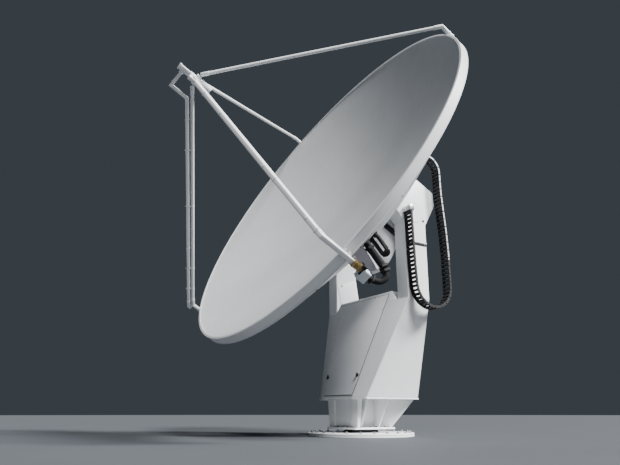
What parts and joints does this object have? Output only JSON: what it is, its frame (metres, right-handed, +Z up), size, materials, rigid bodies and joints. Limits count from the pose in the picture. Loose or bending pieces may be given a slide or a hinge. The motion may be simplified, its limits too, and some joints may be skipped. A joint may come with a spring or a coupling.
{
  "type": "weather radar",
  "caption": "Dish antenna with strut-mounted feed on an elevation-over-azimuth fork pedestal with a cable chain, standing on a round base flange.",
  "frame": {"origin": "centre of the base flange's underside, on the azimuth axis", "axes": "+Z up along the azimuth axis; the dish looks along -Y, raised 28.5 degrees; +X along the elevation axis, towards the cable chain"},
  "size_m": [4.5, 3.1172, 4.928],
  "materials": {
    "white_paint": "satin",
    "dish_paint": "matt",
    "black_plastic": "matt",
    "dark_steel": "oiled",
    "bright_steel": "brushed",
    "grey_paint": "satin",
    "brass": "worn"
  },
  "bodies": {
    "base": {"base_flange": "white_paint", "azimuth_bearing": "dark_steel"},
    "turret": {"shelf_plate": "white_paint", "column_core": "white_paint", "front_post_left": "white_paint", "front_post_right": "white_paint", "front_gusset_left": "white_paint", "front_gusset_right": "white_paint", "middle_gusset_left": "white_paint", "middle_gusset_right": "white_paint", "rear_gusset_left": "white_paint", "rear_gusset_right": "white_paint", "housing_floor": "white_paint", "lower_housing": "white_paint", "saddle": "white_paint", "front_access_panel": "white_paint", "arm_left": "white_paint", "arm_right": "white_paint", "energy_chain": "black_plastic", "chain_bracket": "bright_steel"},
    "antenna": {"reflector": "dish_paint", "rim_drum": "white_paint", "back_skirt": "white_paint", "back_ring": "white_paint", "back_rib_1": "white_paint", "back_rib_2": "white_paint", "back_rib_3": "white_paint", "back_rib_4": "white_paint", "back_rib_5": "white_paint", "back_rib_6": "white_paint", "back_hub": "white_paint", "cradle": "white_paint", "elevation_shaft_left": "bright_steel", "elevation_shaft_right": "bright_steel", "feed_hub": "white_paint", "feed_tube": "white_paint", "feed_horn": "white_paint", "strut_foot_upper_right": "white_paint", "strut_foot_lower_left": "white_paint", "strut_foot_lower_right": "white_paint", "strut_foot_upper_left": "white_paint", "strut_upper_right": "white_paint", "strut_lower_left": "white_paint", "strut_lower_right": "white_paint", "strut_upper_left": "white_paint", "receiver_housing": "white_paint", "receiver_bracket": "white_paint", "chain_end": "black_plastic", "chain_carrier": "white_paint", "waveguide_left": "white_paint", "waveguide_right": "white_paint", "waveguide_flange": "brass", "filter_box": "grey_paint", "gear_cabinet": "grey_paint", "flexible_waveguide": "black_plastic", "gear_hoses": "black_plastic"}
  },
  "joints": [
    {"name": "azimuth", "type": "hinge", "parent": "base", "child": "turret", "pos_m": [0, 0, 0], "axis": [0, 0, 1], "continuous": true},
    {"name": "elevation", "type": "hinge", "parent": "turret", "child": "antenna", "pos_m": [0, 0.275, 2.472], "axis": [-1, 0, 0], "range_deg": [-30.46, 61.53]}
  ]
}
